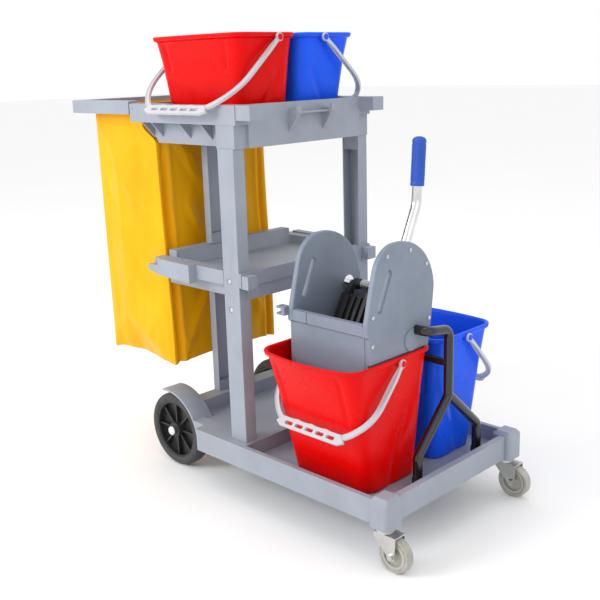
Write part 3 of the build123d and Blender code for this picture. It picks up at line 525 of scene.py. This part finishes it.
def build_bag():
    rows, side_count, end_count = 190, 84, 116
    rings = []
    for k in range(rows + 1):
        v = k / rows
        z = BAG_TOP - (BAG_TOP - BAG_LOW) * v
        front, back = bag_front(z), BAG_BACK + 3 * v
        taper = 1 - 0.012 * v
        loop = []
        panels = (("side", side_count, (back, -1), (front, -1), (0, -1)),
                  ("end", end_count, (front, -1), (front, 1), (1, 0)),
                  ("side", side_count, (front, 1), (back, 1), (0, 1)),
                  ("end", end_count, (back, 1), (back, -1), (-1, 0)))
        for form, count, (x0, s0), (x1, s1), (nx, ny) in panels:
            for i in range(count):
                u = i / count
                x, y = x0 + (x1 - x0) * u, (s0 + (s1 - s0) * u) * BAG_HALF * taper
                share = (x - back) / (front - back)
                across = (y / (BAG_HALF * taper) + 1) / 2
                if form == "side":
                    edge = min(share, 1 - share)
                    lift = side_relief(share, v) * step(edge / 0.05)
                else:
                    edge = min(across, 1 - across)
                    lift = end_relief(across, v) * step(edge / 0.03)
                ripple = noise.noise(Vector((x * 0.011 + 7, y * 0.011, z * 0.004))) * 7
                ripple += noise.noise(Vector((x * 0.035, y * 0.035 + 3, z * 0.013))) * 2.4
                hem = step((BAG_TOP - z - 24) / 60)
                lift = (lift + ripple * step(edge / 0.06)) * hem
                if nx > 0:
                    lift = min(lift, 5) if z < 870 else min(lift, 1.5)
                px, py = x + nx * lift, y + ny * lift
                loop.append((AXLE_X + px, py, z + 4 * hump(edge, 0.05) * (v > 0.97) * -1))
        rings.append(loop)
    shape = Shape()
    foot = rings[-1]
    middle = Vector((0, 0, 0))
    for p in foot:
        middle += Vector(p) / len(foot)
    for k in range(1, 15):
        t = k / 15
        ring = []
        for p in foot:
            q = Vector(p).lerp(middle, t)
            q.z += 5 * math.sin(math.pi * t) + 3 * noise.noise(Vector((q.x * 0.03, q.y * 0.03, 5)))
            ring.append(q)
        rings.append(ring)
    shape.rings(rings, cap_end=True)
    bag = piece("waste_bag_sheet", shape.verts, shape.faces, YELLOW, "bag_holder", ("waste_bag",), angle=180)
    across, deep = 2 * (BAG_HALF * 2 + 240) * MM, (BAG_TOP - BAG_LOW) * MM
    return bag


build_bag()


# ---------------------------------------------------------------- lever grip
def build_grip():
    """Blue grip with a diamond-cut surface and a plain collar at each end."""
    low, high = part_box("lever_grip")
    middle_x = (low[0] + high[0]) / 2 / MM
    axis = Vector((0, 10, 138)).normalized()
    tip = Vector((middle_x, 67, 866)) + axis * 14
    length, radius, count, rows = 110, 15.2, 96, 150
    mouth_r, ridges, twist = 11.6, 6, 0.42
    side = Vector((1, 0, 0))
    up = axis.cross(side)
    rings = []
    for k in range(rows + 1):
        s = length * k / rows
        knurl = step((s - 9) / 3) * step((length - 16 - s) / 3)
        collar = 0.8 * (hump(s - 4, 3.5) + hump(s - (length - 11), 3))
        round_end = math.sqrt(max(0.0, 1 - max(0.0, (9 - (length - s)) / 9) ** 2))
        ring = []
        for i in range(count):
            a = 2 * math.pi * i / count
            diamond = abs(math.sin(ridges * a + s * twist)) * abs(math.sin(ridges * a - s * twist))
            r = (radius - 0.5 * knurl + 1.5 * knurl * diamond + collar) * max(0.05, round_end)
            ring.append(tip - axis * (length - s) + side * (r * math.cos(a)) + up * (r * math.sin(a)))
        rings.append(ring)
    mouth = [tip - axis * length + side * (mouth_r * math.cos(2 * math.pi * i / count))
             + up * (mouth_r * math.sin(2 * math.pi * i / count)) for i in range(count)]
    shape = Shape()
    shape.rings([mouth] + rings, cap_end=True)
    piece("lever_grip_cover", shape.verts, shape.faces, GRIP, "lever", ("lever_grip",), angle=60)


build_grip()


# ---------------------------------------------------------------- stage, camera and light
def area_light(name, place, aim, size, power):
    data = bpy.data.lights.new(name, "AREA")
    data.size = size
    data.energy = power
    lamp = bpy.data.objects.new(name, data)
    lamp.location = place
    lamp.rotation_euler = (Vector(aim) - Vector(place)).to_track_quat("-Z", "Y").to_euler()
    bpy.context.scene.collection.objects.link(lamp)


floor_mesh = bpy.data.meshes.new("floor")
REACH = 30.0
floor_corners = [(-REACH, -REACH, 0), (REACH, -REACH, 0), (REACH, REACH, 0), (-REACH, REACH, 0)]
floor_mesh.from_pydata(floor_corners, [], [(0, 1, 2, 3)])
floor = bpy.data.objects.new("floor", floor_mesh)
bpy.context.scene.collection.objects.link(floor)
floor_shader = Shader("pale_floor", Specular_IOR_Level=0.2)
floor_shader.tone(floor_shader.noise(1.5, 2), (0.93, 0.93, 0.93), (0.95, 0.95, 0.95))
floor_shader.rough(floor_shader.noise(3, 2), 0.75, 0.85)
floor_mesh.materials.append(floor_shader.material)

CENTRE = (0.0, 0.0, 0.55)
area_light("key", (-1.7, -3.6, 2.3), CENTRE, 1.8, 85)
area_light("fill", (3.6, -1.2, 1.9), CENTRE, 2.5, 12)
area_light("top", (0.0, -0.2, 4.0), CENTRE, 1.8, 15)
world = bpy.data.worlds.new("studio")
world.use_nodes = True
world.node_tree.nodes["Background"].inputs["Color"].default_value = (1.0, 1.0, 1.0, 1)
world.node_tree.nodes["Background"].inputs["Strength"].default_value = 1.0
bpy.context.scene.world = world
bpy.context.scene.view_settings.view_transform = "Standard"

camera_data = bpy.data.cameras.new("camera")
camera_data.sensor_width = 36.0
camera_data.lens = 54.217
camera = bpy.data.objects.new("camera", camera_data)
right = Vector((0.71289713, 0.70067303, -0.02889612))
up = Vector((-0.15718061, 0.19980841, 0.96714573))
camera.matrix_world = Matrix.Translation((1.60552, -1.56757, 1.0426)) @ Matrix((
    (right.x, up.x, right.cross(up).x, 0), (right.y, up.y, right.cross(up).y, 0),
    (right.z, up.z, right.cross(up).z, 0), (0, 0, 0, 1)))
bpy.context.scene.collection.objects.link(camera)
bpy.context.scene.camera = camera
